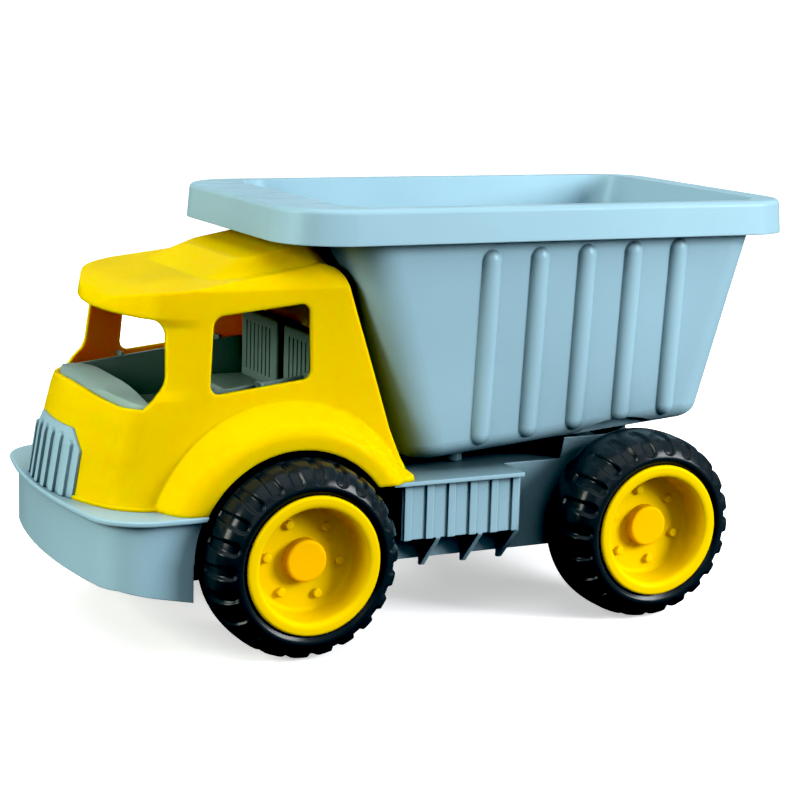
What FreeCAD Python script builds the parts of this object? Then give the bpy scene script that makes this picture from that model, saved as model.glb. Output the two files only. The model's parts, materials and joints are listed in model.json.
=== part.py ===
import FreeCAD, Part
import math
import os

os.makedirs("parts", exist_ok=True)

V = FreeCAD.Vector

# Toy dump truck, millimetres. The floor is Z 0, the truck faces -Y and its left side is +X.


# --- running gear ---
AXLE_Z = 46.0
FRONT_AXLE_Y = -80.5
REAR_AXLE_Y = 101.5
AXLE_R = 2.5
AXLE_HALF = 91.0
TYRE_R = 46.0
SLOT_FLOOR_R = 44.6
TYRE_OUT_X = 103.4
TYRE_IN_X = 67.2
TYRE_BORE_R = 31.0
SLOT_COUNT = 23
SLOT_FOOT_R = 37.0
SLOT_CROWN_X = 85.0
SLOT_W_FACE = 7.0
SLOT_W_CROWN = 4.6
RIM_FACE_X = 104.0
RIM_R = 32.4
RIM_MOUTH_R = 27.2
DISH_X = 88.8
STUD_COUNT = 6
STUD_PITCH_R = 18.0
STUD_R = 2.1
CAP_R = 10.0
CAP_FACE_X = 94.2
HUB_TUBE_R = 7.0
HUB_END_X = 65.0
RUN_FIT = 0.08
PRESS_GAP = 0.02
WELL_R = 49.2

# --- chassis moulding ---
WALL = 2.4
BUMPER_TOP = 68.4
BUMPER_FRONT_Y = -179.0
BUMPER_CORNER_R = 27.0
BUMPER_NOSE_R = 340.0
FLANGE_HALF = 86.3
FLANGE_T = 2.6
APRON_SETBACK = 4.2
APRON_BOTTOM = 28.5
APRON_FRONT_BOTTOM = 35.4
APRON_REAR_Y = -130.1
DECK_TOP = 75.0
DECK_T = 2.0
STEP_HALF = 81.0
STEP_WALL_HALF = 77.0
STEP_FRONT_Y = -31.0
STEP_REAR_Y = 38.3
STEP_BOTTOM = 46.0
STEP_RIB_COUNT = 6
STEP_RIB_FIRST_Y = -24.0
STEP_RIB_PITCH = 11.5
STEP_RIB_W = 3.8
STEP_RIB_T = 1.1
CORE_HALF = 60.0
CORE_BOTTOM = 32.0
CORE_REAR_Y = 128.0
SADDLE_X = 40.0
SADDLE_HALF = 11.0
KEEPER_T = 4.0
KEEPER_SCREW_X = 50.0
KEEPER_SCREW_DY = 7.5
HOLD_GAP = 0.02
SCREW_R = 1.3
SCREW_HEAD_R = 3.0
BRACKET_FRONT_Y = 70.0
BRACKET_TOP = 85.5

# --- dump bed ---
BED_TOP = 202.5
RIM_BOTTOM = 186.0
RIM_HALF = 80.0
RIM_FRONT_Y = -82.5
RIM_REAR_Y = 191.5
RIM_CORNER_R = 24.0
RIM_FLARE = 1.4
BED_WALL = 2.5
BED_HALF_LOW = 66.6
BED_HALF_TOP = 74.0
BED_FRONT_LOW = -15.5
BED_FRONT_TOP = -50.0
BED_REAR_LOW = 145.3
BED_REAR_TOP = 172.3
BED_LOW_Z = 78.0
BED_FLOOR_FRONT_Z = 80.6
BED_FLOOR_SLOPE = 4.7
FLUTE_COUNT = 5
FLUTE_FIRST_Y = 20.4
FLUTE_PITCH = 26.0
FLUTE_R = 6.0
FLUTE_SINK = 3.2
FLUTE_TOP_Z = 177.0
FLUTE_TOP_RISE = 0.7
FLUTE_LOW_Z = 92.3
FLUTE_LOW_RISE = 2.05
GROOVE_COUNT = 5
GROOVE_PITCH = 26.0
GROOVE_R = 1.5
GROOVE_DEPTH = 1.0
HINGE_Y = 112.0
HINGE_Z = 80.5
HINGE_ROD_R = 3.0
HINGE_HALF = 53.0
HINGE_LUG_R = 5.6

# --- cab ---
CAB_POST_X = 38.0
CAB_POST_Y = (-143.0, -40.0)
CAB_WALL = 2.4
CAB_ROOF_REAR_Z = 175.6
CAB_REAR_LOW_Y = -20.4
FENDER_HALF = 85.0
CABIN_FLOOR_Z = 97.0
SEAT_BACK_Y = -47.5
SEAT_TOP_Z = 139.5
SEAT_GROOVES = 7
SEAT_GROOVE_PITCH = 5.0
CUSHION_TOP_Z = 106.0
DASH_TOP_Z = 119.2
DASH_CROWN_R = 330.0
GRILLE_RIBS = 6
GRILLE_PITCH = 10.2


def box(x0, x1, y0, y1, z0, z1):
    return Part.makeBox(x1 - x0, y1 - y0, z1 - z0, V(x0, y0, z0))


def cyl_x(r, x0, x1, y, z):
    return Part.makeCylinder(r, x1 - x0, V(x0, y, z), V(1, 0, 0))


def cyl_z(r, x, y, z0, z1):
    return Part.makeCylinder(r, z1 - z0, V(x, y, z0), V(0, 0, 1))


def mirror_x(shape):
    return shape.mirror(V(0, 0, 0), V(1, 0, 0))


def fuse(shapes):
    return shapes[0].multiFuse(shapes[1:]).removeSplitter()


def both_sides(shape):
    return [shape, mirror_x(shape)]


def prism_x(points, x0, x1):
    """Side-view polygon (y, z) carried along X."""
    wire = Part.makePolygon([V(x0, y, z) for y, z in points + points[:1]])
    return Part.Face(wire).extrude(V(x1 - x0, 0, 0))


def prism_y(points, y0, y1):
    """Front-view polygon (x, z) carried along Y."""
    wire = Part.makePolygon([V(x, y0, z) for x, z in points + points[:1]])
    return Part.Face(wire).extrude(V(0, y1 - y0, 0))


def rounded_corner(a, b, c, r):
    """Tangent points and arc middle for corner b of the path a-b-c."""
    u = (a - b).normalize()
    w = (c - b).normalize()
    half = math.acos(max(-1.0, min(1.0, u.dot(w)))) / 2.0
    back = r / math.tan(half)
    centre = b + (u + w).normalize() * (r / math.sin(half))
    middle = centre + (b - centre).normalize() * r
    return b + u * back, middle, b + w * back


def rounded_wire(points, radii):
    """Closed wire through the points with each corner rounded."""
    n = len(points)
    corners = []
    for i in range(n):
        corners.append(rounded_corner(points[i - 1], points[i], points[(i + 1) % n], radii[i]))
    edges = []
    for i in range(n):
        start, middle, end = corners[i]
        edges.append(Part.Arc(start, middle, end).toShape())
        nxt = corners[(i + 1) % n][0]
        if (nxt - end).Length > 1e-4:
            edges.append(Part.makeLine(end, nxt))
    return Part.Wire(edges)


def rounded_prism_x(points, radii, x0, x1):
    wire = rounded_wire([V(x0, y, z) for y, z in points], radii)
    return Part.Face(wire).extrude(V(x1 - x0, 0, 0))


def rounded_prism_y(points, radii, y0, y1):
    wire = rounded_wire([V(x, y0, z) for x, z in points], radii)
    return Part.Face(wire).extrude(V(0, y1 - y0, 0))


def rounded_rect(half, y0, y1, z, r_front, r_rear):
    points = [V(half, y0, z), V(half, y1, z), V(-half, y1, z), V(-half, y0, z)]
    return rounded_wire(points, [r_front, r_rear, r_rear, r_front])


def revolve_x(profile, y, z):
    """Solid of revolution about the X axis line through (y, z); profile holds (x, r)."""
    wire = Part.makePolygon([V(x, y, z + r) for x, r in profile + profile[:1]])
    return Part.Face(wire).revolve(V(0, y, z), V(1, 0, 0), 360)


# ---------------------------------------------------------------- wheels

def tyre_skin(outer_r, drop):
    """Outer tyre envelope from bore to tread, rounded at both shoulders; drop lowers its faces."""
    face = TYRE_OUT_X - drop
    back = TYRE_IN_X + drop
    r = outer_r - TYRE_R
    outer = [(face - 1.4, TYRE_BORE_R), (face - 1.4, 32.7), (face, 35.0 + r), (face - 0.7, 37.6 + r),
             (face - 2.4, 40.6 + r), (face - 5.2, 43.2 + r), (face - 9.2, 45.0 + r), (face - 14.0, 45.9 + r)]
    inner = [(84.0, TYRE_R + r), (back + 8.0, 45.6 + r), (back + 3.6, 44.2 + r), (back + 1.0, 41.8 + r),
             (back, 38.0 + r), (back, TYRE_BORE_R)]
    return outer + inner


def slot_cutter():
    """Round-ended bar above the slot floors, tapering from the tyre's face to its crown."""
    foot_r = SLOT_FOOT_R + SLOT_W_FACE / 2
    face = SLOT_W_FACE / 2
    crown = SLOT_W_CROWN / 2
    out = TYRE_OUT_X + 1
    plan = [V(SLOT_CROWN_X, -crown, foot_r), V(out, -face, foot_r), V(out, face, foot_r),
            V(SLOT_CROWN_X, crown, foot_r)]
    bar = Part.Face(Part.makePolygon(plan + plan[:1])).extrude(V(0, 0, 50 - foot_r))
    bar = bar.fuse(cyl_x(face, TYRE_OUT_X - 4.0, out, 0, foot_r))
    floor = revolve_x(tyre_skin(SLOT_FLOOR_R, 0.9), 0, 0)
    return bar.cut(floor)


def make_tyre():
    """Left-hand tyre about the X axis line at the origin, slots across its outer shoulder."""
    body = revolve_x(tyre_skin(TYRE_R, 0.0), 0, 0)
    hollow = revolve_x([(TYRE_IN_X - 1, 34.0), (95.0, 34.0), (95.0, 38.0), (90.0, 40.6),
                        (TYRE_IN_X - 1, 40.6)], 0, 0)
    body = body.cut(hollow)
    cutter = slot_cutter()
    slots = []
    for i in range(SLOT_COUNT):
        copy = cutter.copy()
        copy.rotate(V(0, 0, 0), V(1, 0, 0), 360.0 * i / SLOT_COUNT)
        slots.append(copy)
    body = body.cut(Part.makeCompound(slots))
    ribs = []
    for i in range(12):
        rib = box(TYRE_IN_X + 6, 95.5, -0.8, 0.8, 33.0, 41.2)
        rib.rotate(V(0, 0, 0), V(1, 0, 0), 30.0 * i + 15)
        ribs.append(rib)
    return fuse([body] + ribs)


def make_hub():
    """Left-hand rim, dish, studs and axle tube in one yellow moulding."""
    bore = AXLE_R + RUN_FIT
    lip = RIM_FACE_X
    profile = [(HUB_END_X, bore), (86.0, bore), (86.0, 8.4), (DISH_X, 8.4), (DISH_X, 22.6)]
    profile += [(DISH_X + 2.2 - 2.2 * math.cos(math.radians(a)), 22.6 + 2.2 * math.sin(math.radians(a)))
                for a in (22.5, 45, 67.5, 90)]
    profile += [(101.4, RIM_MOUTH_R - 1.0), (102.6, RIM_MOUTH_R - 0.6), (103.4, RIM_MOUTH_R),
                (lip - 0.15, 28.2), (lip, 29.2), (lip, 31.2), (lip - 0.3, 31.9), (lip - 1.2, RIM_R),
                (TYRE_OUT_X - 1.3, RIM_R), (TYRE_OUT_X - 1.3, TYRE_BORE_R - PRESS_GAP),
                (76.0, 30.4), (76.0, 28.2), (86.2, 27.8), (86.2, 12.0), (84.0, HUB_TUBE_R + 0.6),
                (HUB_END_X, HUB_TUBE_R)]
    hub = revolve_x(profile, 0, 0)
    studs = []
    for i in range(STUD_COUNT):
        a = math.radians(60.0 * i)
        y = STUD_PITCH_R * math.cos(a)
        z = STUD_PITCH_R * math.sin(a)
        stud = cyl_x(STUD_R, DISH_X - 1, DISH_X + 2.2, y, z)
        rim = [e for e in stud.Edges if e.BoundBox.XLength < 0.01 and e.BoundBox.XMin > DISH_X + 2]
        studs.append(stud.makeFillet(0.6, rim))
    ribs = []
    for i in range(6):
        rib = box(78.0, 86.6, -0.8, 0.8, HUB_TUBE_R - 0.6, 28.6)
        rib.rotate(V(0, 0, 0), V(1, 0, 0), 60.0 * i + 30)
        ribs.append(rib)
    return fuse([hub] + studs + ribs)


def make_cap():
    """Push-in cap closing the hub over the axle end."""
    face = CAP_FACE_X
    profile = [(86.6, 5.6), (86.6, 8.3), (DISH_X + 0.02, 8.3), (DISH_X + 0.02, CAP_R), (face - 1.2, CAP_R),
               (face - 0.4, CAP_R - 0.35), (face, CAP_R - 1.2), (face, 0), (face - 1.8, 0),
               (face - 1.8, 5.6)]
    wire = Part.makePolygon([V(x, 0, r) for x, r in profile + profile[:1]])
    return Part.Face(wire).revolve(V(0, 0, 0), V(1, 0, 0), 360)


def make_push_nut():
    """Spring-steel washer gripping the axle end outside the hub."""
    return revolve_x([(86.6, AXLE_R), (86.9, AXLE_R), (87.3, 5.0), (87.0, 5.0)], 0, 0)


def place_wheel(shape, side, axle_y, turn):
    out = shape.copy()
    out.rotate(V(0, 0, 0), V(1, 0, 0), turn)
    out.translate(V(0, axle_y, AXLE_Z))
    if side < 0:
        out = mirror_x(out)
    return out


# ---------------------------------------------------------------- chassis

def nose_outline(z, front, half, nose, corner, rear):
    """D-shaped plan outline: bowed nose, rounded front corners, straight sides and rear."""
    cy = front + nose - math.sqrt((nose - corner) ** 2 - (half - corner) ** 2)
    ang = math.atan2(front + nose - cy, half - corner)
    tx = nose * math.cos(ang)
    ty = front + nose - nose * math.sin(ang)
    mx = half - corner + corner * math.cos(ang / 2.0)
    my = cy - corner * math.sin(ang / 2.0)
    edges = [Part.makeLine(V(half, rear, z), V(half, cy, z)),
             Part.Arc(V(half, cy, z), V(mx, my, z), V(tx, ty, z)).toShape(),
             Part.Arc(V(tx, ty, z), V(0, front, z), V(-tx, ty, z)).toShape(),
             Part.Arc(V(-tx, ty, z), V(-mx, my, z), V(-half, cy, z)).toShape(),
             Part.makeLine(V(-half, cy, z), V(-half, rear, z)),
             Part.makeLine(V(-half, rear, z), V(half, rear, z))]
    return Part.Wire(edges)


def bumper_slab(inset, z0, z1):
    """Slice of the bumper's plan shape, its edge moved inward by inset."""
    wire = nose_outline(z0, BUMPER_FRONT_Y + inset, FLANGE_HALF - inset, BUMPER_NOSE_R - inset,
                        BUMPER_CORNER_R - inset, APRON_REAR_Y + 20)
    return Part.Face(wire).extrude(V(0, 0, z1 - z0))


def wheel_well(axle_y, r):
    inner = CORE_HALF + 1.5
    return fuse(both_sides(cyl_x(r, inner, 130, axle_y, AXLE_Z)))


def make_bumper():
    """Bumper shelf with the apron hanging under it, set back from the shelf's edge."""
    shelf = bumper_slab(0, BUMPER_TOP - FLANGE_T, BUMPER_TOP)
    rims = [e for e in shelf.Edges if e.BoundBox.ZLength < 0.01 and e.BoundBox.YMin < -120]
    shelf = shelf.makeFillet(0.9, rims)
    outer = bumper_slab(APRON_SETBACK, APRON_BOTTOM, BUMPER_TOP - 1)
    inner = bumper_slab(APRON_SETBACK + WALL, APRON_BOTTOM - 1, BUMPER_TOP - FLANGE_T)
    lift = prism_x([(APRON_REAR_Y, APRON_BOTTOM), (-163.0, APRON_FRONT_BOTTOM), (-190.0, APRON_FRONT_BOTTOM),
                    (-190.0, 20.0), (APRON_REAR_Y, 20.0)], -100, 100)
    apron = outer.cut(inner).cut(box(-200, 200, APRON_REAR_Y, 0, 0, AXLE_Z)).cut(lift)
    return [shelf, apron]


def step_panel(side_y0, side_y1):
    """Ribbed outer wall, floor and rear end of the side step, left side."""
    wall = box(STEP_WALL_HALF - WALL, STEP_WALL_HALF, side_y0, side_y1, STEP_BOTTOM, DECK_TOP - 1)
    floor = box(CORE_HALF - 1, STEP_WALL_HALF, side_y0, side_y1, STEP_BOTTOM, STEP_BOTTOM + 2)
    rear = box(CORE_HALF - 1, STEP_WALL_HALF, side_y1 - WALL, side_y1, STEP_BOTTOM, DECK_TOP - 1)
    parts = [wall, floor, rear]
    for i in range(STEP_RIB_COUNT):
        y = STEP_RIB_FIRST_Y + STEP_RIB_PITCH * i
        rib_x = STEP_WALL_HALF + STEP_RIB_T
        parts.append(box(STEP_WALL_HALF - 1, rib_x, y, y + STEP_RIB_W, STEP_BOTTOM, DECK_TOP - 1))
    return fuse(parts).cut(box(0, 200, STEP_REAR_Y, 60, 0, 200))


def gusset(y_top):
    """Triangular web under the step, its point down at the core wall."""
    points = [(CORE_HALF - 1, STEP_BOTTOM + 1), (STEP_WALL_HALF, STEP_BOTTOM + 1),
              (STEP_WALL_HALF, STEP_BOTTOM - 0.6), (CORE_HALF + 1, 28.3), (CORE_HALF - 1, 28.3)]
    return prism_y(points, y_top - 2.4, y_top)


def axle_post(y):
    """Saddle web holding an axle, open downward for the keeper, left side."""
    r = AXLE_R + HOLD_GAP
    web = box(SADDLE_X, CORE_HALF, y - SADDLE_HALF, y + SADDLE_HALF, CORE_BOTTOM, DECK_TOP - 1)
    slot = box(SADDLE_X - 1, 70, y - r, y + r, 20, AXLE_Z)
    hole = cyl_x(r, SADDLE_X - 1, 70, y, AXLE_Z)
    keeper_room = box(SADDLE_X - 1, 70, y - SADDLE_HALF - 0.5, y + SADDLE_HALF + 0.5, 20, AXLE_Z - r)
    for dy in (-KEEPER_SCREW_DY, KEEPER_SCREW_DY):
        web = web.cut(cyl_z(SCREW_R, KEEPER_SCREW_X, y + dy, AXLE_Z - 8, AXLE_Z + 9))
    return web.cut(slot).cut(hole).cut(keeper_room)


def hinge_lug(x0, x1):
    """Upright ear for the bed hinge rod."""
    r = HINGE_LUG_R
    ear = box(x0, x1, HINGE_Y - r, HINGE_Y + r, CORE_BOTTOM + 20, HINGE_Z)
    crown = cyl_x(r, x0, x1, HINGE_Y, HINGE_Z)
    return ear.fuse(crown)


def make_chassis():
    parts = make_bumper()
    bracket = [(BRACKET_FRONT_Y, DECK_TOP - 1), (BRACKET_FRONT_Y + 2, BRACKET_TOP), (116.0, BRACKET_TOP),
               (125.0, 77.0), (125.0, DECK_TOP - 1)]
    parts.append(box(-STEP_HALF, STEP_HALF, STEP_FRONT_Y, STEP_REAR_Y, DECK_TOP - DECK_T, DECK_TOP))
    parts.append(box(-CORE_HALF, CORE_HALF, -155.0, STEP_FRONT_Y + 5, BUMPER_TOP - FLANGE_T,
                     BUMPER_TOP))
    parts.append(box(-CORE_HALF, CORE_HALF, STEP_FRONT_Y - 2, CORE_REAR_Y, DECK_TOP - DECK_T, DECK_TOP))
    parts.append(box(-CORE_HALF, CORE_HALF, STEP_FRONT_Y - 2, STEP_FRONT_Y + 0.4, BUMPER_TOP - 1, DECK_TOP))
    for side in (1, -1):
        x0, x1 = sorted((side * CORE_HALF, side * (CORE_HALF - WALL)))
        parts.append(box(x0, x1, -150.0, CORE_REAR_Y, CORE_BOTTOM, BUMPER_TOP - 1))
        parts.append(box(x0, x1, STEP_FRONT_Y - 2, CORE_REAR_Y, BUMPER_TOP - 2, DECK_TOP))
        parts.append(prism_x(bracket, x0, x1))
    parts.append(box(-CORE_HALF, CORE_HALF, CORE_REAR_Y - WALL, CORE_REAR_Y, CORE_BOTTOM, DECK_TOP))
    parts.append(box(-CORE_HALF, CORE_HALF, -150.0, -150.0 + WALL, CORE_BOTTOM, BUMPER_TOP - 1))
    for x in (-20.0, 20.0):
        parts.append(box(x - 1, x + 1, -149.0, CORE_REAR_Y - 1, CORE_BOTTOM + 22, BUMPER_TOP - 1))
    for y in (-30.0, 30.0):
        parts.append(box(-CORE_HALF + 1, CORE_HALF - 1, y - 1, y + 1, CORE_BOTTOM + 8, BUMPER_TOP))
    for x in (-20.0, 20.0):
        parts.append(box(x - 1, x + 1, STEP_FRONT_Y, CORE_REAR_Y - 1, BUMPER_TOP - 2, DECK_TOP - 1))
    parts += both_sides(step_panel(-25.0, STEP_REAR_Y))
    for y in (-4.2, 18.4, STEP_REAR_Y):
        parts += both_sides(gusset(y))
    for y in (FRONT_AXLE_Y, REAR_AXLE_Y):
        parts += both_sides(axle_post(y))
    parts += both_sides(hinge_lug(44.0, 51.0))
    body = fuse(parts)
    body = body.cut(wheel_well(FRONT_AXLE_Y, WELL_R)).cut(wheel_well(REAR_AXLE_Y, WELL_R))
    for y in (FRONT_AXLE_Y, REAR_AXLE_Y):
        body = body.cut(box(-70, 70, y - AXLE_R - HOLD_GAP, y + AXLE_R + HOLD_GAP, 20, AXLE_Z))
        body = body.cut(cyl_x(AXLE_R + HOLD_GAP, -70, 70, y, AXLE_Z))
    body = body.cut(cyl_x(HINGE_ROD_R + HOLD_GAP, -70, 70, HINGE_Y, HINGE_Z))
    for x in (-CAB_POST_X, CAB_POST_X):
        for y in CAB_POST_Y:
            body = body.cut(cyl_z(SCREW_R + 0.6, x, y, 20, 100))
    return body.removeSplitter()


def keeper_top():
    """Height of the keeper's upper face, just under the axle."""
    return AXLE_Z - AXLE_R - 2 * HOLD_GAP


def make_keeper(y):
    """Clamp bars holding an axle up in its saddles, one bar per side, joined across."""
    top = keeper_top()
    outer = CORE_HALF - WALL - 0.1
    bars = both_sides(box(SADDLE_X + 0.2, outer, y - SADDLE_HALF, y + SADDLE_HALF, top - KEEPER_T, top))
    tie = box(-SADDLE_X - 1, SADDLE_X + 1, y - 4, y + 4, top - KEEPER_T, top)
    keeper = fuse(bars + [tie])
    for x in (-KEEPER_SCREW_X, KEEPER_SCREW_X):
        for dy in (-KEEPER_SCREW_DY, KEEPER_SCREW_DY):
            keeper = keeper.cut(cyl_z(SCREW_R + 0.3, x, y + dy, 20, 60))
    return keeper


def make_screw(x, y, seat_z, reach):
    """Pan-head screw driven upward, cross slot in its head."""
    head_z = seat_z - 2.0
    shank = cyl_z(SCREW_R, x, y, seat_z - 0.1, seat_z + reach)
    head = cyl_z(SCREW_HEAD_R, x, y, head_z, seat_z)
    rim = [e for e in head.Edges if e.BoundBox.ZLength < 0.01 and e.BoundBox.ZMin < head_z + 0.1]
    screw = head.makeFillet(0.8, rim).fuse(shank)
    screw = screw.cut(box(x - 1.8, x + 1.8, y - 0.3, y + 0.3, head_z - 0.5, head_z + 1.0))
    return screw.cut(box(x - 0.3, x + 0.3, y - 1.8, y + 1.8, head_z - 0.5, head_z + 1.0))


def make_keeper_screws():
    screws = []
    for y in (FRONT_AXLE_Y, REAR_AXLE_Y):
        for x in (-KEEPER_SCREW_X, KEEPER_SCREW_X):
            for dy in (-KEEPER_SCREW_DY, KEEPER_SCREW_DY):
                screws.append(make_screw(x, y + dy, keeper_top() - KEEPER_T, 12.0))
    return Part.makeCompound(screws)


def make_axle(y):
    rod = cyl_x(AXLE_R, -AXLE_HALF + 0.6, AXLE_HALF - 0.6, y, AXLE_Z)
    ends = [e for e in rod.Edges if e.BoundBox.XLength < 0.01]
    return rod.makeChamfer(0.5, ends)


# ---------------------------------------------------------------- cab

CAB_SECTIONS = [(66.0, -174.8, 68.5), (92.0, -170.4, 66.8), (108.0, -166.3, 65.8),
                (117.0, -163.2, 65.3), (121.5, -158.0, 65.0), (149.0, -150.0, 62.8),
                (153.0, -152.4, 62.5), (190.0, -146.0, 60.0)]
CAB_NOSE_R = 120.0
CAB_CORNER_R = 27.0


def cab_section(z, front, half, inset):
    """Cab plan outline at one height, moved inward by inset."""
    return nose_outline(z, front + inset, half - inset, CAB_NOSE_R - inset, CAB_CORNER_R - inset, 0.0)


def cab_block(inset):
    """Solid cab envelope, every face moved inward by inset."""
    wires = [cab_section(z, front, half, inset) for z, front, half in CAB_SECTIONS]
    body = Part.makeLoft(wires, True, True)
    i = inset
    low = BUMPER_TOP if inset == 0 else 60.0
    side = [(-190, low), (-190, 152.0 + i), (-152.6 + i, 152.0 + i), (-149.4 + i, 159.0),
            (-139.5 + i * 0.6, 163.8 - i), (-50.3 - i, CAB_ROOF_REAR_Z - i), (-27.5 - i, 98.0),
            (CAB_REAR_LOW_Y - i, 80.0), (CAB_REAR_LOW_Y - i, low)]
    radii = [0.5, 0.5, 0.6, 9, 24, 9 - i, 16, 1.0, 0.5]
    return body.common(rounded_prism_x(side, radii, -90, 90))


def roof_round(inset):
    """Front-view limit that rounds the roof into the sides."""
    i = inset
    points = [(-90, 40), (90, 40), (71.0 - i, 100), (61.5 - i, CAB_ROOF_REAR_Z + 1.5 - i),
              (-61.5 + i, CAB_ROOF_REAR_Z + 1.5 - i), (-71.0 + i, 100)]
    return rounded_prism_y(points, [1, 1, 1, 22 - i, 22 - i, 1], -200, 20)


def make_cowl(inset):
    """Raised plateau on the roof, rising toward the bed."""
    i = inset
    low = [V(54 - i, -116 + i, 165), V(54 - i, -50 - i, 171), V(-54 + i, -50 - i, 171),
           V(-54 + i, -116 + i, 165)]
    high = [V(38 - i, -94 + i, 176.0 - i), V(38 - i, -56 - i, 183.0 - i), V(-38 + i, -56 - i, 183.0 - i),
            V(-38 + i, -94 + i, 176.0 - i)]
    return Part.makeLoft([rounded_wire(low, [16, 8, 8, 16]), rounded_wire(high, [11, 5, 5, 11])], True, True)


def fender_block(inset):
    """Wheel-arch flare, turned about the front axle line, left side."""
    i = inset
    crown = [V(x, FRONT_AXLE_Y, AXLE_Z + r) for x, r in (
        (FENDER_HALF - i, 54.0 - i * 0.6), (FENDER_HALF - 0.5 - i, 57.0 - i * 0.8),
        (FENDER_HALF - 2.6 - i, 60.2 - i), (77.0 - i * 0.6, 63.3 - i), (70.0 - i * 0.3, 66.4 - i),
        (62.5, 69.6 - i))]
    curve = Part.BSplineCurve()
    curve.interpolate(crown)
    top = AXLE_Z + 71.5 - i
    low = V(FENDER_HALF - i, FRONT_AXLE_Y, AXLE_Z + 10)
    base = V(50, FRONT_AXLE_Y, AXLE_Z + 10)
    high = V(50, FRONT_AXLE_Y, top)
    wall = V(61.5, FRONT_AXLE_Y, top)
    wire = Part.Wire([Part.makeLine(base, low), Part.makeLine(low, crown[0]), curve.toShape(),
                      Part.makeLine(crown[-1], wall), Part.makeLine(wall, high), Part.makeLine(high, base)])
    flare = Part.Face(wire).revolve(V(0, FRONT_AXLE_Y, AXLE_Z), V(1, 0, 0), 360)
    flare = flare.cut(box(0, 200, -200, FRONT_AXLE_Y, -20, BUMPER_TOP if inset == 0 else 40))
    return flare.cut(box(0, 200, FRONT_AXLE_Y - 1, 100, -20, DECK_TOP if inset == 0 else 40))


def windscreen_cut():
    side = [(-200, 100), (-148.0, 110.2), (-135.8, 123.5), (-133.8, 152.0), (-200, 152.0)]
    front = [(-70, 112.6), (-48, 112.8), (-20, 116.4), (0, 117.2), (20, 116.4), (48, 112.8), (70, 112.6),
             (70, 152.0), (-70, 152.0)]
    a = rounded_prism_x(side, [1, 13, 12, 6, 1], -80, 80)
    b = rounded_prism_y(front, [1, 20, 60, 60, 60, 20, 1, 1, 1], -210, -100)
    return a.common(b)


def window_cut():
    points = [(-116.9, 118.2), (-66.8, 123.7), (-66.8, 158.6), (-114.1, 153.8)]
    return rounded_prism_x(points, [4.5, 4.5, 4.5, 5.5], -90, 90)


def bottom_lip():
    """Small turned-out foot along the cab's front edge, stopping beside the grille."""
    out = Part.Face(cab_section(BUMPER_TOP, -176.0, 70.0, 0)).extrude(V(0, 0, 1.6))
    cut = Part.Face(cab_section(BUMPER_TOP, -176.0, 70.0, 3.6)).extrude(V(0, 0, 1.6))
    lip = out.cut(cut).cut(box(-200, 200, -132.0, 200, 0, 100))
    return lip.cut(box(-33.3, 33.3, -200, -150, 60, 80))


def rear_foot():
    """Turned-out foot at the cab's lower rear corner, left side, standing on the step."""
    wires = []
    for z, x1, y1, r in ((DECK_TOP, 80.5, -17.8, 7.0), (DECK_TOP + 2.0, 80.0, -18.2, 7.0),
                         (DECK_TOP + 8.0, 72.0, -25.5, 5.0)):
        points = [V(57, -36, z), V(57, y1, z), V(x1, y1, z), V(x1, -36, z)]
        wires.append(rounded_wire(points, [0.4, 0.4, r, 0.4]))
    return Part.makeLoft(wires, True, True)


def make_cab():
    outer = cab_block(0).common(roof_round(0))
    outer = fuse([outer, make_cowl(0), bottom_lip()] + both_sides(fender_block(0)) + both_sides(rear_foot()))
    inner = cab_block(CAB_WALL).common(roof_round(CAB_WALL))
    inner = fuse([inner, make_cowl(CAB_WALL)] + both_sides(fender_block(CAB_WALL)))
    shell = outer.cut(inner)
    arches = fuse(both_sides(cyl_x(WELL_R, CORE_HALF - 4, 130, FRONT_AXLE_Y, AXLE_Z)))
    shell = shell.cut(arches).cut(windscreen_cut()).cut(window_cut())
    shell = shell.cut(box(-200, 200, STEP_FRONT_Y + 0.2, 100, 0, DECK_TOP))
    shell = shell.cut(box(-STEP_HALF, STEP_HALF, STEP_FRONT_Y - 2.2, 100, 0, DECK_TOP))
    front_y, rear_y = CAB_POST_Y
    posts = []
    for x in (-CAB_POST_X, CAB_POST_X):
        posts.append(cyl_z(4.0, x, front_y, BUMPER_TOP, 95.0).fuse(
            box(x - 0.8, x + 0.8, -170.0, front_y, BUMPER_TOP, 95.0)))
        posts.append(cyl_z(4.0, x, rear_y, BUMPER_TOP, 95.0).fuse(
            box(x - 0.8, x + 0.8, rear_y, -22.0, DECK_TOP, 95.0)))
    shell = fuse([shell] + [p.common(outer) for p in posts])
    for x in (-CAB_POST_X, CAB_POST_X):
        for y in CAB_POST_Y:
            shell = shell.cut(cyl_z(SCREW_R, x, y, BUMPER_TOP - 1, BUMPER_TOP + 16))
    return max(shell.Solids, key=lambda solid: solid.Volume)


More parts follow.
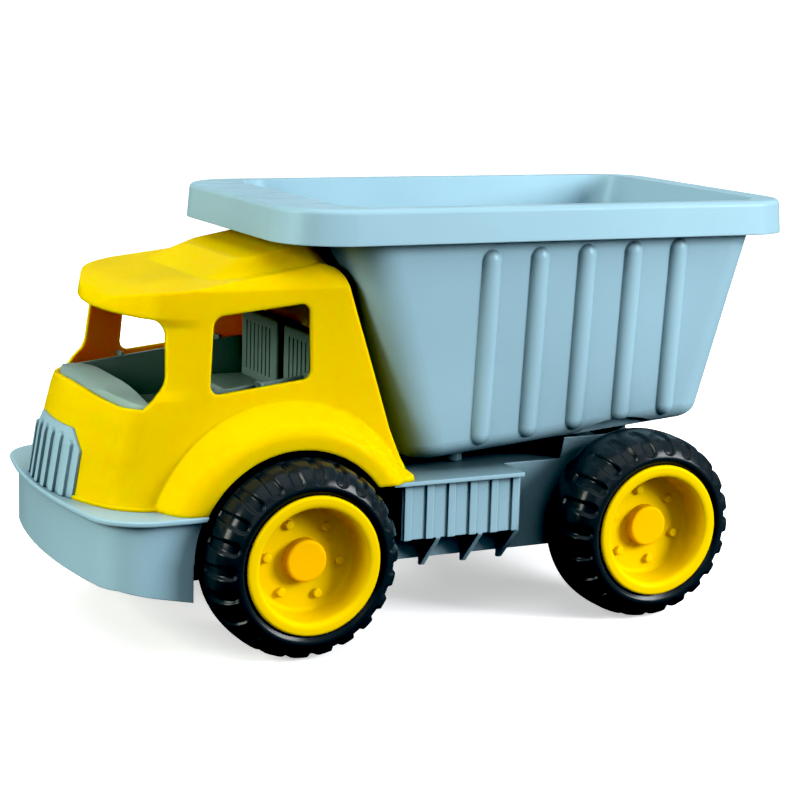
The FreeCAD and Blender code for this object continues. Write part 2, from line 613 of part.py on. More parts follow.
def make_grille():
    """Ribbed radiator panel following the bowed nose, chamfered upper corners."""
    def skin(grow):
        wires = [cab_section(z, front, half, -grow) for z, front, half in CAB_SECTIONS[:3]]
        return Part.makeLoft(wires, True, True)
    outline = [(-33, BUMPER_TOP + 0.2), (33, BUMPER_TOP + 0.2), (33, 90.0), (23, 99.0), (-23, 99.0),
               (-33, 90.0)]
    plate = rounded_prism_y(outline, [1, 1, 2.5, 2.5, 2.5, 2.5], -200, -150)
    panel = skin(1.4).cut(skin(0.02)).common(plate)
    ribs = []
    for i in range(GRILLE_RIBS):
        x = (i - (GRILLE_RIBS - 1) / 2.0) * GRILLE_PITCH
        top = 94.0 if abs(x) > 20 else 96.0
        shape = [(x - 2.3, BUMPER_TOP + 0.2), (x + 2.3, BUMPER_TOP + 0.2), (x + 2.3, top), (x - 2.3, top)]
        ribs.append(rounded_prism_y(shape, [0.3, 0.3, 2.2, 2.2], -200, -150))
    raised = skin(2.9).cut(skin(1.0)).common(fuse(ribs)).common(plate)
    return fuse([panel, raised])


def seat(x0, x1):
    """Upright seat back, grooved down its front, with a low cushion before it."""
    back = box(x0, x1, SEAT_BACK_Y - 8.5, SEAT_BACK_Y, CABIN_FLOOR_Z - 1, SEAT_TOP_Z)
    edges = [e for e in back.Edges if e.BoundBox.ZMin > SEAT_TOP_Z - 0.5 or e.BoundBox.ZLength > 30]
    cushion = box(x0, x1, SEAT_BACK_Y - 34.5, SEAT_BACK_Y - 6.5, CABIN_FLOOR_Z - 1, CUSHION_TOP_Z)
    rims = [e for e in cushion.Edges
            if e.BoundBox.ZMin > CUSHION_TOP_Z - 0.5 and e.BoundBox.YMax < SEAT_BACK_Y - 12]
    back = back.makeFillet(1.6, edges)
    front = SEAT_BACK_Y - 8.5
    for i in range(SEAT_GROOVES):
        x = (x0 + x1) / 2 + SEAT_GROOVE_PITCH * (i - (SEAT_GROOVES - 1) / 2)
        back = back.cut(box(x - 0.7, x + 0.7, front - 1, front + 0.8, CUSHION_TOP_Z + 4, SEAT_TOP_Z - 5))
    return [back, cushion.makeFillet(2.0, rims)]


def dashboard():
    """Crowned dash shelf under the windscreen."""
    side = [(-164, CABIN_FLOOR_Z + 8), (-164, 113.0), (-157.0, 117.6), (-142.0, DASH_TOP_Z),
            (-142.0, CABIN_FLOOR_Z - 2), (-144.5, CABIN_FLOOR_Z - 2), (-144.5, CABIN_FLOOR_Z + 8)]
    block = rounded_prism_x(side, [0.5, 3.0, 16.0, 1.2, 0.5, 0.5, 0.5], -64, 64)
    crown = Part.makeCylinder(DASH_CROWN_R, 60, V(0, -180, DASH_TOP_Z - DASH_CROWN_R), V(0, 1, 0))
    return block.common(crown)


def make_interior():
    """Grey cabin moulding: floor, dash, tub walls and two seats."""
    inset = CAB_WALL + 0.3
    half = 55.0
    floor = CABIN_FLOOR_Z
    parts = [dashboard(), box(-half, half, -150.0, -44.0, floor - 2, floor)]
    wall = [(-146, floor - 2), (-44, floor - 2), (-44, 124.5), (-58, 124.5), (-146, 114.0)]
    parts += both_sides(prism_x(wall, half - 2.0, half))
    for y in (-118.0, -90.0, -66.0):
        z = 114.0 + (y + 146) * 0.119
        parts += both_sides(box(half - 1, half + 6.5, y - 0.8, y + 0.8, z - 8, z + 1.5))
    parts += seat(4.5, 50.0) + seat(-50.0, -4.5)
    body = fuse(parts).common(cab_block(inset).common(roof_round(inset)))
    return max(body.Solids, key=lambda solid: solid.Volume)


def make_cab_screws():
    screws = []
    for x in (-CAB_POST_X, CAB_POST_X):
        for y in CAB_POST_Y:
            screws.append(make_screw(x, y, BUMPER_TOP - FLANGE_T, 15.0))
    return Part.makeCompound(screws)


# ---------------------------------------------------------------- dump bed

def bed_frame(inset, z0, z1):
    """Tapered tub volume between two heights, faces moved inward by inset."""
    def at(low, top, z):
        return low + (top - low) * (z - BED_LOW_Z) / (RIM_BOTTOM - BED_LOW_Z)
    wires = []
    for z in (z0, z1):
        half = at(BED_HALF_LOW, BED_HALF_TOP, z) - inset
        front = at(BED_FRONT_LOW, BED_FRONT_TOP, z) + inset
        rear = at(BED_REAR_LOW, BED_REAR_TOP, z) - inset
        wires.append(rounded_rect(half, front, rear, z, 20 - inset, 16 - inset))
    return Part.makeLoft(wires, True, True)


def floor_plane_cut(lift):
    """Half-space under the sloping bed floor."""
    rise = math.tan(math.radians(BED_FLOOR_SLOPE))
    z0 = BED_FLOOR_FRONT_Z + lift
    return prism_x([(-120, z0 - 120 * rise), (220, z0 + 220 * rise), (220, 20), (-120, 20)], -120, 120)


def round_under(shape, lift, r):
    """Round the tub's bottom edge."""
    edges = []
    rise = math.tan(math.radians(BED_FLOOR_SLOPE))
    for e in shape.Edges:
        mid = e.valueAt((e.FirstParameter + e.LastParameter) / 2.0)
        if abs(mid.z - (BED_FLOOR_FRONT_Z + lift + mid.y * rise)) < 0.3:
            edges.append(e)
    return shape.makeFillet(r, edges)


def flute(i):
    """Raised round-ended rib following the side wall, left side."""
    y = FLUTE_FIRST_Y + FLUTE_PITCH * i
    pts = []
    for z in (FLUTE_LOW_Z + FLUTE_LOW_RISE * i, FLUTE_TOP_Z + FLUTE_TOP_RISE * i):
        half = BED_HALF_LOW + (BED_HALF_TOP - BED_HALF_LOW) * (z - BED_LOW_Z) / (RIM_BOTTOM - BED_LOW_Z)
        pts.append(V(half - FLUTE_SINK, y, z))
    axis = pts[1] - pts[0]
    bar = Part.makeCylinder(FLUTE_R, axis.Length, pts[0], axis)
    return fuse([bar, Part.makeSphere(FLUTE_R, pts[0]), Part.makeSphere(FLUTE_R, pts[1])])


def make_rim():
    """Turned-down flange round the mouth of the bed."""
    def ring(inset, z0, z1):
        wires = []
        for z in (z0, z1):
            grow = RIM_FLARE * (BED_TOP - z) / (BED_TOP - RIM_BOTTOM) - inset
            wires.append(rounded_rect(RIM_HALF + grow, RIM_FRONT_Y - grow, RIM_REAR_Y - RIM_FLARE + grow, z,
                                      30 + grow, RIM_CORNER_R + grow))
        return Part.makeLoft(wires, True, True)
    outer = ring(0, RIM_BOTTOM, BED_TOP)
    top = [e for e in outer.Edges if e.BoundBox.ZMin > BED_TOP - 0.01]
    outer = outer.makeFillet(2.6, top)
    return outer.cut(ring(BED_WALL, RIM_BOTTOM - 1, BED_TOP - BED_WALL))


def make_bed():
    tub = bed_frame(0, BED_LOW_Z - 8, BED_TOP - 1).cut(floor_plane_cut(0))
    tub = round_under(tub, 0, 9.0)
    inner = bed_frame(BED_WALL, BED_LOW_Z - 8, BED_TOP + 5).cut(floor_plane_cut(BED_WALL))
    inner = round_under(inner, BED_WALL, 7.0)
    flutes = []
    for i in range(FLUTE_COUNT):
        flutes += both_sides(flute(i))
    feet = both_sides(cyl_z(5.0, 44, 18, DECK_TOP + 0.3, 90))
    ears = both_sides(fuse([box(34.0, 43.6, HINGE_Y - 6, HINGE_Y + 6, HINGE_Z, 94),
                            cyl_x(5.2, 34.0, 43.6, HINGE_Y, HINGE_Z)]))
    bed = fuse([tub, make_rim()] + flutes + feet + ears)
    for i in range(GROOVE_COUNT):
        x = GROOVE_PITCH * (i - (GROOVE_COUNT - 1) / 2.0)
        start = V(x, RIM_FRONT_Y - 3, BED_TOP + GROOVE_R - GROOVE_DEPTH)
        bed = bed.cut(Part.makeCylinder(GROOVE_R, 60, start, V(0, 1, 0)))
    lining = fuse(both_sides(cyl_x(WELL_R + BED_WALL, CORE_HALF - 1, 130, REAR_AXLE_Y, AXLE_Z)))
    wells = fuse(both_sides(cyl_x(WELL_R, CORE_HALF + BED_WALL - 1, 130, REAR_AXLE_Y, AXLE_Z)))
    bed = bed.cut(inner.cut(lining)).cut(wells)
    bed = bed.cut(cyl_x(HINGE_ROD_R + RUN_FIT, -70, 70, HINGE_Y, HINGE_Z))
    return bed.removeSplitter()


def make_hinge_rod():
    rod = cyl_x(HINGE_ROD_R, -HINGE_HALF, HINGE_HALF, HINGE_Y, HINGE_Z)
    ends = [e for e in rod.Edges if e.BoundBox.XLength < 0.01]
    return rod.makeChamfer(0.5, ends)


def make_hinge_caps():
    """Push-on caps that stop the hinge rod sliding out."""
    caps = []
    for side in (1, -1):
        end = HINGE_HALF + 0.1
        cap = revolve_x([(51.2, HINGE_ROD_R + PRESS_GAP), (end, HINGE_ROD_R + PRESS_GAP), (end, 0),
                         (end + 1.3, 0), (end + 1.3, 4.0), (51.2, 4.8)], 0, 0)
        cap.translate(V(0, HINGE_Y, HINGE_Z))
        caps.append(cap if side > 0 else mirror_x(cap))
    return Part.makeCompound(caps)


# ---------------------------------------------------------------- hand-in

def save(name, shape):
    """Write one node, moved so that Y 0 is at mid-length."""
    if not shape.isValid():
        print("INVALID", name)
    print(name, len(shape.Solids), round(shape.Volume / 1000.0, 2))
    shape = shape.copy()
    shape.translate(V(0, -(BUMPER_FRONT_Y + RIM_REAR_Y) / 2.0, 0))
    shape.exportStep("parts/" + name + ".step")


save("chassis", make_chassis())
save("dump_bed", make_bed())
save("cab_shell", make_cab())
save("cab_interior", make_interior())
save("grille", make_grille())
save("cab_screws", make_cab_screws())
save("hinge_rod", make_hinge_rod())
save("hinge_caps", make_hinge_caps())
save("front_axle", make_axle(FRONT_AXLE_Y))
save("rear_axle", make_axle(REAR_AXLE_Y))
save("front_axle_keeper", make_keeper(FRONT_AXLE_Y))
save("rear_axle_keeper", make_keeper(REAR_AXLE_Y))
save("keeper_screws", make_keeper_screws())

WHEELS = [("front_left", 1, FRONT_AXLE_Y, -6.9, -3.9), ("front_right", -1, FRONT_AXLE_Y, 21.0, 5.0),
          ("rear_left", 1, REAR_AXLE_Y, -18.5, 8.7), ("rear_right", -1, REAR_AXLE_Y, 8.0, -2.0)]
tyre = make_tyre()
hub = make_hub()
cap = make_cap()
nut = make_push_nut()
nuts = []
for name, side, axle_y, turn, tyre_turn in WHEELS:
    save(name + "_tyre", place_wheel(tyre, side, axle_y, tyre_turn))
    save(name + "_hub", place_wheel(hub, side, axle_y, turn))
    save(name + "_cap", place_wheel(cap, side, axle_y, turn))
    nuts.append(place_wheel(nut, side, axle_y, 0.0))
save("push_nuts", Part.makeCompound(nuts))
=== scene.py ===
import json
import math

import bpy
import numpy as np
from mathutils import Matrix, Vector


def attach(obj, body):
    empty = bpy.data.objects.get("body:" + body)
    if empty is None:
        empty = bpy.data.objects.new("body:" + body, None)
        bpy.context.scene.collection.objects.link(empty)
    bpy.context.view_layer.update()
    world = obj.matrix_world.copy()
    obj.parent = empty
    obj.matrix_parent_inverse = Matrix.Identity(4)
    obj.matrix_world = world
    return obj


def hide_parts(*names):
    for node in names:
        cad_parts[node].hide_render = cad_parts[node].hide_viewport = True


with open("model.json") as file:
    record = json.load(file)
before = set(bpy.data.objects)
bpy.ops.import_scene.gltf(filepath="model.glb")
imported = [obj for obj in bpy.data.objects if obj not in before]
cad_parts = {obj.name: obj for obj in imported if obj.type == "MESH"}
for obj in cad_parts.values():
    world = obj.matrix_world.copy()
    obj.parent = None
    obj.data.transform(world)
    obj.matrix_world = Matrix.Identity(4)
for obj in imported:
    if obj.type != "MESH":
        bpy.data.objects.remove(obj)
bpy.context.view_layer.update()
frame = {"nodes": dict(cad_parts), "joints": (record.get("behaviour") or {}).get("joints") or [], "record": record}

MM = 0.001

# ---------------------------------------------------------------- camera, floor and light

CAMERA_AT = (0.8981, -0.4418, 0.29335)
CAMERA_YAW = 63.58
CAMERA_PITCH = 11.09
CAMERA_ROLL = 1.62
CAMERA_LENS = 90.919
SENSOR_WIDTH = 36.0
CAMERA_REACH = 200.0

WORLD_LOW = (0.022, 0.028, 0.034)
WORLD_HIGH = (0.30, 0.35, 0.38)
WORLD_RISE_FROM = 0.02
WORLD_RISE_TO = 0.6
BLACK_LEVEL = 0.014
LIGHT_TARGET = (0.0, 0.0, 0.08)

FLOOR_HALF = 60.0
RING_RADIUS = 55.0
RING_HEIGHT = 75.0
RING_SIDES = 64
PAPER_DARK = (0.88, 0.88, 0.885)
PAPER_PALE = (0.90, 0.90, 0.905)


def link_object(name, data):
    made = bpy.data.objects.new(name, data)
    bpy.context.collection.objects.link(made)
    return made


def make_camera():
    data = bpy.data.cameras.new("camera")
    data.sensor_width = SENSOR_WIDTH
    data.lens = CAMERA_LENS
    data.clip_end = CAMERA_REACH
    camera = link_object("camera", data)
    turn = Matrix.Rotation(math.radians(CAMERA_YAW), 4, "Z")
    tip = Matrix.Rotation(math.radians(90.0 - CAMERA_PITCH), 4, "X")
    roll = Matrix.Rotation(math.radians(CAMERA_ROLL), 4, "Z")
    camera.matrix_world = Matrix.Translation(CAMERA_AT) @ turn @ tip @ roll
    bpy.context.scene.camera = camera


def aim(lamp, at, target):
    lamp.location = at
    lamp.rotation_euler = (Vector(target) - Vector(at)).to_track_quat("-Z", "Y").to_euler()


def sun(name, strength, angle, at, colour):
    data = bpy.data.lights.new(name, "SUN")
    data.energy = strength
    data.angle = math.radians(angle)
    data.color = colour
    aim(link_object(name, data), at, (0, 0, 0))


def softbox(name, power, width, height, at, colour=(1, 1, 1), reflected=True):
    data = bpy.data.lights.new(name, "AREA")
    data.shape = "RECTANGLE"
    data.size = width
    data.size_y = height
    data.energy = power
    data.color = colour
    lamp = link_object(name, data)
    aim(lamp, at, LIGHT_TARGET)
    lamp.visible_glossy = reflected


def make_world():
    """Soft cool sky above, near dark below, so that undersides fall off as they do over a table."""
    world = bpy.data.worlds.new("studio")
    bpy.context.scene.world = world
    world.use_nodes = True
    nodes = world.node_tree.nodes
    links = world.node_tree.links
    split = nodes.new("ShaderNodeSeparateXYZ")
    links.new(nodes.new("ShaderNodeTexCoord").outputs["Generated"], split.inputs["Vector"])
    rise = nodes.new("ShaderNodeMapRange")
    rise.interpolation_type = "SMOOTHSTEP"
    rise.inputs["From Min"].default_value = WORLD_RISE_FROM
    rise.inputs["From Max"].default_value = WORLD_RISE_TO
    links.new(split.outputs["Z"], rise.inputs["Value"])
    mix = nodes.new("ShaderNodeMix")
    mix.data_type = "RGBA"
    mix.inputs[6].default_value = (*WORLD_LOW, 1.0)
    mix.inputs[7].default_value = (*WORLD_HIGH, 1.0)
    links.new(rise.outputs["Result"], mix.inputs["Factor"])
    links.new(mix.outputs[2], nodes["Background"].inputs["Color"])


def set_tone():
    tone = bpy.context.scene.view_settings
    tone.view_transform = "Standard"
    tone.use_curve_mapping = True
    tone.curve_mapping.black_level = (BLACK_LEVEL, BLACK_LEVEL, BLACK_LEVEL)
    tone.curve_mapping.update()


def make_light():
    make_world()
    set_tone()
    sun("overhead", 1.42, 70.0, (0.35, -0.1, 1.5), (1.0, 1.0, 0.97))
    softbox("front_box", 20.0, 0.5, 0.7, (0.1, -1.4, 0.6), (0.97, 1.0, 0.88))
    softbox("fill_box", 1.0, 0.5, 0.5, (1.3, -0.35, 0.4), (0.95, 0.98, 1.0))
    softbox("back_box", 16.0, 0.7, 0.6, (-1.15, 0.55, 0.6), reflected=False)
    softbox("side_box", 31.0, 0.5, 0.6, (1.05, 1.0, 0.6), (0.96, 0.99, 1.0))


def paper(name, grain_scale, grain_detail, glow, specular):
    """White paper, lightly clouded, with a glow of its own that keeps it near white."""
    m = Nodes(name, roughness=0.9)
    m.colour(m.blend(m.noise(grain_scale, grain_detail), PAPER_DARK, PAPER_PALE))
    m.shader.inputs["Specular IOR Level"].default_value = specular
    m.shader.inputs["Emission Color"].default_value = (1, 1, 1, 1)
    m.shader.inputs["Emission Strength"].default_value = glow
    return m.material


def add_stage(name, points, faces, material):
    """A part of the stage that throws no light, shadow or reflection on the object."""
    mesh = bpy.data.meshes.new(name)
    mesh.from_pydata(points, [], faces)
    mesh.materials.append(material)
    stage = link_object(name, mesh)
    stage.visible_diffuse = False
    stage.visible_glossy = False
    stage.visible_shadow = False


def make_floor():
    half = FLOOR_HALF
    corners = [(-half, -half, 0), (half, -half, 0), (half, half, 0), (-half, half, 0)]
    add_stage("floor", corners, [(0, 1, 2, 3)], paper("floor_paper", 60.0, 3, 0.5, 0.0))


def make_backdrop():
    """Plain white ring round the far edge of the floor."""
    points = []
    for i in range(RING_SIDES):
        angle = 2 * math.pi * i / RING_SIDES
        x, y = RING_RADIUS * math.cos(angle), RING_RADIUS * math.sin(angle)
        points += [(x, y, 0.0), (x, y, RING_HEIGHT)]
    total = len(points)
    faces = [(k, k + 1, (k + 3) % total, (k + 2) % total) for k in range(0, total, 2)]
    add_stage("backdrop", points, faces, paper("backdrop_paper", 0.5, 2, 1.1, 0.5))


# ---------------------------------------------------------------- materials

GREY = (0.28, 0.445, 0.53)
YELLOW = (0.74, 0.505, 0.0004)
RIM_YELLOW = (0.82, 0.555, 0.0004)
CAP_YELLOW = (0.95, 0.49, 0.0004)
# Cab inside: darker and more olive than the grey, partly its own tint and partly painted shade and painted yellow
# bounce light from the cab walls.
INSIDE_TINT_AND_SHADE = (0.225, 0.33, 0.30)
BLACK = (0.008, 0.009, 0.011)
TYRE_DARK = (0.010, 0.0138, 0.0168)
TYRE_PALE = (0.013, 0.0172, 0.0205)
STEEL_DARK = (0.36, 0.36, 0.35)
STEEL_PALE = (0.62, 0.62, 0.63)

CLOUDING = 0.05
RUBBED_GAIN = 1.12
# Painted shade: colour in recesses is darkened towards this share, over this reach, by ambient occlusion.
PAINTED_SHADE_GAIN = 0.12
PAINTED_SHADE_REACH = 60 * MM
MOULD_GRAIN = 0.035 * MM
FINE_GRAIN = 0.02 * MM
GLOW_REACH = 6 * MM
GLOW_COLOUR = (1.0, 0.42, 0.02)
EDGE_SAMPLES = 6
EDGE_FLAT = 0.995
EDGE_SHARP = 0.80


class Nodes:
    """A material whose colour, roughness and relief all come from procedural patterns."""

    def __init__(self, name, roughness, metallic=0.0):
        self.material = bpy.data.materials.new(name)
        self.material.use_nodes = True
        self.tree = self.material.node_tree
        self.shader = self.tree.nodes["Principled BSDF"]
        self.shader.inputs["Roughness"].default_value = roughness
        self.shader.inputs["Metallic"].default_value = metallic
        self.place = self.tree.nodes.new("ShaderNodeTexCoord").outputs["Object"]

    def node(self, kind, **settings):
        made = self.tree.nodes.new(kind)
        for key, value in settings.items():
            setattr(made, key, value)
        return made

    def link(self, source, target):
        self.tree.links.new(source, target)

    def stretched(self, scale):
        mapping = self.node("ShaderNodeMapping")
        mapping.inputs["Scale"].default_value = scale
        self.link(self.place, mapping.inputs["Vector"])
        return mapping.outputs["Vector"]

    def noise(self, scale, detail, place=None):
        made = self.node("ShaderNodeTexNoise")
        made.inputs["Scale"].default_value = scale
        made.inputs["Detail"].default_value = detail
        self.link(place or self.place, made.inputs["Vector"])
        return made.outputs["Fac"]

    def ramp(self, value, low, high, out_low=0.0, out_high=1.0):
        made = self.node("ShaderNodeMapRange", clamp=True)
        made.inputs["From Min"].default_value = low
        made.inputs["From Max"].default_value = high
        made.inputs["To Min"].default_value = out_low
        made.inputs["To Max"].default_value = out_high
        self.link(value, made.inputs["Value"])
        return made.outputs["Result"]

    def math(self, operation, a, b):
        made = self.node("ShaderNodeMath", operation=operation)
        for socket, value in zip(made.inputs, (a, b)):
            if isinstance(value, (int, float)):
                socket.default_value = value
            else:
                self.link(value, socket)
        return made.outputs["Value"]

    def blend(self, factor, a, b):
        made = self.node("ShaderNodeMix", data_type="RGBA")
        self.link(factor, made.inputs["Factor"])
        for socket, value in zip((made.inputs[6], made.inputs[7]), (a, b)):
            if isinstance(value, tuple):
                socket.default_value = (*value, 1.0)
            else:
                self.link(value, socket)
        return made.outputs[2]

    def edges(self, radius):
        """(normal rounded over sharp edges, 0 to 1 mask of where those edges are)."""
        bevel = self.node("ShaderNodeBevel", samples=EDGE_SAMPLES)
        bevel.inputs["Radius"].default_value = radius
        flat = self.node("ShaderNodeNewGeometry").outputs["Normal"]
        dot = self.node("ShaderNodeVectorMath", operation="DOT_PRODUCT")
        self.link(bevel.outputs["Normal"], dot.inputs[0])
        self.link(flat, dot.inputs[1])
        return bevel.outputs["Normal"], self.ramp(dot.outputs["Value"], EDGE_FLAT, EDGE_SHARP)

    def painted_recess_shade(self, reach):
        """Mask of painted shade: 0 on open surfaces, rising to 1 deep between other surfaces."""
        made = self.node("ShaderNodeAmbientOcclusion", samples=EDGE_SAMPLES)
        made.inputs["Distance"].default_value = reach
        return self.ramp(made.outputs["AO"], 0.3, 0.85, 1.0, 0.0)

    def relief(self, height, distance, normal=None):
        bump = self.node("ShaderNodeBump")
        bump.inputs["Strength"].default_value = 1.0
        bump.inputs["Distance"].default_value = distance
        self.link(height, bump.inputs["Height"])
        if normal is not None:
            self.link(normal, bump.inputs["Normal"])
        self.link(bump.outputs["Normal"], self.shader.inputs["Normal"])

    def colour(self, value):
        self.link(value, self.shader.inputs["Base Color"])

    def rough(self, value):
        self.link(value, self.shader.inputs["Roughness"])


def scaled(colour, k):
    return tuple(min(1.0, c * k) for c in colour)


def mould_colour(m, colour, edges, wear, painted_shade):
    """Clouded colour, paler on rubbed edges, and darkened in recesses by painted shade."""
    clouds = m.ramp(m.noise(11.0, 4), 0.32, 0.68)
    body = m.blend(clouds, scaled(colour, 1.0 - CLOUDING), scaled(colour, 1.0 + CLOUDING))
    rubbed = m.math("MULTIPLY", edges, m.ramp(m.noise(140.0, 5), 0.35, 0.7, 0.0, wear))
    worn = m.blend(rubbed, body, scaled(colour, RUBBED_GAIN))
    # Painted shade: ambient occlusion darkens the colour in recesses and between parts.
    shade = m.math("MULTIPLY", m.painted_recess_shade(PAINTED_SHADE_REACH), painted_shade)
    m.colour(m.blend(shade, worn, scaled(colour, PAINTED_SHADE_GAIN)))


def mould_surface(m, roughness, normal):
    """Faint scuffs in the gloss, and a fine grain over long waves in the relief."""
    streaks = m.noise(1.0, 4, m.stretched((45.0, 420.0, 60.0)))
    patches = m.noise(24.0, 3)
    streaked = m.ramp(streaks, 0.5, 0.8, 0.0, 0.07)
    scuffs = m.math("ADD", streaked, m.ramp(patches, 0.3, 0.7, -0.03, 0.05))
    m.rough(m.math("ADD", scuffs, roughness))
    waves = m.math("MULTIPLY", m.noise(28.0, 1), 4.0)
    m.relief(m.math("ADD", m.noise(950.0, 2), waves), MOULD_GRAIN, normal)


def moulded(name, colour, roughness, specular, edge=0.9 * MM, wear=0.25, painted_shade=0.5, glow=0.0):
    """Injection-moulded plastic; glow is the share of light that seeps through a thin wall, and recesses get a
    share of painted shade.
    """
    m = Nodes(name, roughness)
    m.shader.inputs["Specular IOR Level"].default_value = specular
    m.shader.inputs["Specular Tint"].default_value = (*scaled(colour, 1.0 / max(colour)), 1.0)
    m.shader.inputs["Subsurface Weight"].default_value = glow
    m.shader.inputs["Subsurface Radius"].default_value = GLOW_COLOUR
    m.shader.inputs["Subsurface Scale"].default_value = GLOW_REACH
    normal, edges = m.edges(edge)
    mould_colour(m, colour, edges, wear, painted_shade)
    mould_surface(m, roughness, normal)
    return m.material


def tyre_plastic():
    """Glossy black soft plastic with a faint blue cast and fine flow marks."""
    m = Nodes("tyre_black", 0.2)
    m.shader.inputs["Specular IOR Level"].default_value = 0.14
    m.colour(m.blend(m.ramp(m.noise(30.0, 4), 0.3, 0.7), TYRE_DARK, TYRE_PALE))
    m.rough(m.ramp(m.noise(75.0, 5), 0.3, 0.75, 0.15, 0.30))
    flow = m.math("MULTIPLY", m.noise(120.0, 2), 2.0)
    m.relief(m.math("ADD", m.noise(700.0, 2), flow), FINE_GRAIN)
    return m.material


def plated_steel():
    """Zinc-plated steel with drawn scratches along its length."""
    m = Nodes("plated_steel", 0.35, metallic=1.0)
    scratches = m.noise(1.0, 6, m.stretched((60.0, 1800.0, 1800.0)))
    m.colour(m.blend(scratches, STEEL_DARK, STEEL_PALE))
    m.rough(m.ramp(scratches, 0.3, 0.7, 0.24, 0.46))
    normal, _ = m.edges(0.3 * MM)
    m.relief(scratches, FINE_GRAIN, normal)
    return m.material


def make_materials():
    """One material per slot of the record, and one more for the inside of the cab, a darker olive copy of the grey
    that is partly its own tint and partly painted shade and painted yellow bounce light.
    """
    return {
        # Painted shade in recesses is set per plastic below, strongest on the grey.
        "grey": moulded("grey_plastic", GREY, 0.36, 0.3, painted_shade=0.9),
        "yellow": moulded("yellow_plastic", YELLOW, 0.34, 0.12, edge=2.4 * MM, wear=0.2, painted_shade=0.15, glow=0.7),
        "rim_yellow": moulded("rim_plastic", RIM_YELLOW, 0.34, 0.12, edge=1.0 * MM, wear=0.2, painted_shade=0.2),
        "cap_yellow": moulded("cap_plastic", CAP_YELLOW, 0.36, 0.12, edge=0.8 * MM, wear=0.15),
        "inside": moulded("cab_inside_tinted_shaded_plastic", INSIDE_TINT_AND_SHADE, 0.4, 0.2, painted_shade=0.7),
        "black": moulded("black_plastic", BLACK, 0.42, 0.4, wear=0.1),
        "tyre": tyre_plastic(),
        "steel": plated_steel(),
    }


def dress_cad_nodes(materials):
    slots = {part["node"]: part["material_slot"] for part in frame["record"]["subparts"]}
    # The inside of the cab takes the darker olive copy of the grey: partly tint, partly painted shade and painted
    # bounce light.
    slots["cab_interior"] = "inside"
    for name, node in frame["nodes"].items():
        for slot in node.material_slots:
            slot.material = materials[slots[name]]


# ---------------------------------------------------------------- tyres, in millimetres

TYRE_OUT = 103.4
TYRE_IN = 67.2
TYRE_R = 46.0
SKIN_GAP = 0.03
BORE_R = 31.0
SLOT_DROP_R = 1.2
SLOT_DROP_X = 1.0
SLOT_COUNT = 23
SLOT_HALF_FACE = 3.7
SLOT_HALF_CROWN = 2.7
SLOT_CROWN_X = 84.6
SLOT_END_R = 40.6
SLOT_CORNER = 1.6
SLOT_WALL = 1.5
STEPS_PER_SLOT = 24
SKIN_STEPS = 5
TYRE_TURN = {"front_left": -3.9, "front_right": 5.0, "rear_left": 8.7, "rear_right": -2.0}


def skin(sink_r, sink_x):
    """Control points (x, r) of the tyre's outside, front bore to back bore, sunk for the slots' floor."""
    face = TYRE_OUT - sink_x
    back = TYRE_IN
    r = TYRE_R - sink_r
    return np.array([
        (face - 1.45, BORE_R), (face - 1.4, 31.8), (face - 1.35, 32.6), (face - 0.8, 33.6),
        (face - 0.1, r - 11.0), (face, r - 9.6), (face - 0.7, r - 7.8), (face - 2.0, r - 5.6),
        (face - 3.9, r - 3.6), (face - 6.4, r - 1.9), (face - 9.6, r - 0.8), (face - 14.0, r - 0.1),
        (84.5, r), (back + 12.0, r - 0.1), (back + 7.5, r - 0.6), (back + 4.2, r - 1.6),
        (back + 2.0, r - 3.2), (back + 0.6, r - 5.4), (back, r - 8.0), (back, r - 11.0),
        (back + 0.6, BORE_R)])


def smooth_line(points, steps):
    """Catmull-Rom samples through points, steps to a span."""
    padded = np.vstack([2 * points[0] - points[1], points, 2 * points[-1] - points[-2]])
    out = []
    for i in range(1, len(padded) - 2):
        p0, p1, p2, p3 = padded[i - 1:i + 3]
        for t in np.arange(steps) / steps:
            out.append(0.5 * (2 * p1 + (p2 - p0) * t + (2 * p0 - 5 * p1 + 4 * p2 - p3) * t * t
                              + (3 * p1 - p0 - 3 * p2 + p3) * t ** 3))
    out.append(points[-1])
    return np.array(out)


def slot_depth(x, r, angle):
    """0 on the lands to 1 on a slot's floor, for a skin point at angle from the nearest slot's middle."""
    along = np.clip((x - SLOT_CROWN_X) / (TYRE_OUT - SLOT_CROWN_X), 0.0, 1.0)
    half = SLOT_HALF_CROWN + (SLOT_HALF_FACE - SLOT_HALF_CROWN) * along
    across = np.abs(r * np.sin(angle))
    foot = half - np.hypot(across, np.minimum(r - SLOT_END_R, 0.0))
    past_end = np.maximum(SLOT_CROWN_X + SLOT_CORNER - x, 0.0)
    past_side = np.maximum(across - (half - SLOT_CORNER), 0.0)
    head = np.where(past_end > 0, SLOT_CORNER - np.hypot(past_end, past_side), foot)
    t = np.clip(np.minimum(foot, head) / SLOT_WALL, 0.0, 1.0)
    return t * t * (3.0 - 2.0 * t)


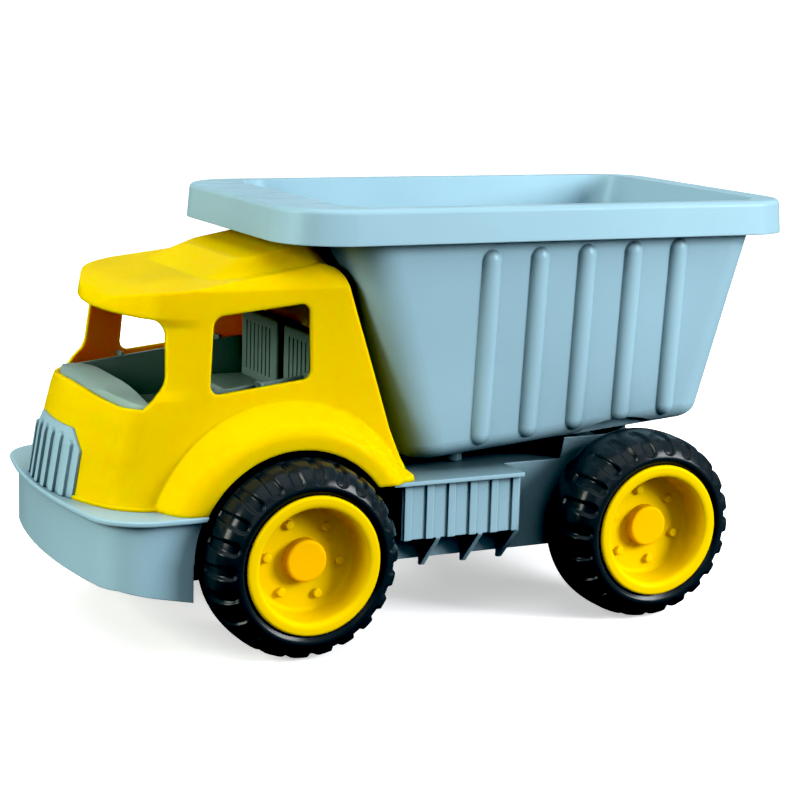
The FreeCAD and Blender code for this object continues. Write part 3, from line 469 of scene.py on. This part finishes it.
def tyre_points(axle, side, turn):
    """(columns, rows, 3) points in metres: a column goes round the section, and columns round the axle."""
    high = smooth_line(skin(SKIN_GAP, 0.0), SKIN_STEPS)
    low = smooth_line(skin(SKIN_GAP + SLOT_DROP_R, SLOT_DROP_X), SKIN_STEPS)
    pitch = 2 * math.pi / SLOT_COUNT
    step = np.arange(SLOT_COUNT * STEPS_PER_SLOT)
    from_slot = (step % STEPS_PER_SLOT) / STEPS_PER_SLOT * pitch
    from_slot = np.where(from_slot > pitch / 2, from_slot - pitch, from_slot)
    depth = slot_depth(high[None, :, 0], high[None, :, 1], from_slot[:, None])
    x = high[None, :, 0] * (1 - depth) + low[None, :, 0] * depth
    r = high[None, :, 1] * (1 - depth) + low[None, :, 1] * depth
    spin = step[:, None] * (pitch / STEPS_PER_SLOT) + math.radians(turn)
    y = -r * np.sin(spin) + axle[1] / MM
    z = r * np.cos(spin) + axle[2] / MM
    return np.stack([x * side, y, z], axis=-1) * MM


def ring_faces(columns, rows, side):
    """Quads of a closed ring of closed columns, facing out on either side of the truck."""
    faces = []
    for column in range(columns):
        here = column * rows
        there = (column + 1) % columns * rows
        for k in range(rows):
            n = (k + 1) % rows
            quad = (here + k, here + n, there + n, there + k)
            faces.append(quad if side > 0 else quad[::-1])
    return faces


def make_tyre(name, axle, side, material):
    points = tyre_points(axle, side, TYRE_TURN[name])
    columns, rows, _ = points.shape
    mesh = bpy.data.meshes.new(name + "_tyre_moulding")
    mesh.from_pydata(points.reshape(-1, 3).tolist(), [], ring_faces(columns, rows, side))
    mesh.polygons.foreach_set("use_smooth", [True] * len(mesh.polygons))
    mesh.materials.append(material)
    tyre = link_object(name + "_tyre_moulding", mesh)
    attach(tyre, name + "_wheel")
    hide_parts(name + "_tyre")


def make_tyres(material):
    axles = {joint["child"]: joint["pos_m"] for joint in frame["joints"]}
    for name in TYRE_TURN:
        side = 1 if name.endswith("left") else -1
        make_tyre(name, axles[name + "_wheel"], side, material)


make_camera()
make_light()
make_floor()
make_backdrop()
materials = make_materials()
dress_cad_nodes(materials)
make_tyres(materials["tyre"])

bpy.context.view_layer.update()
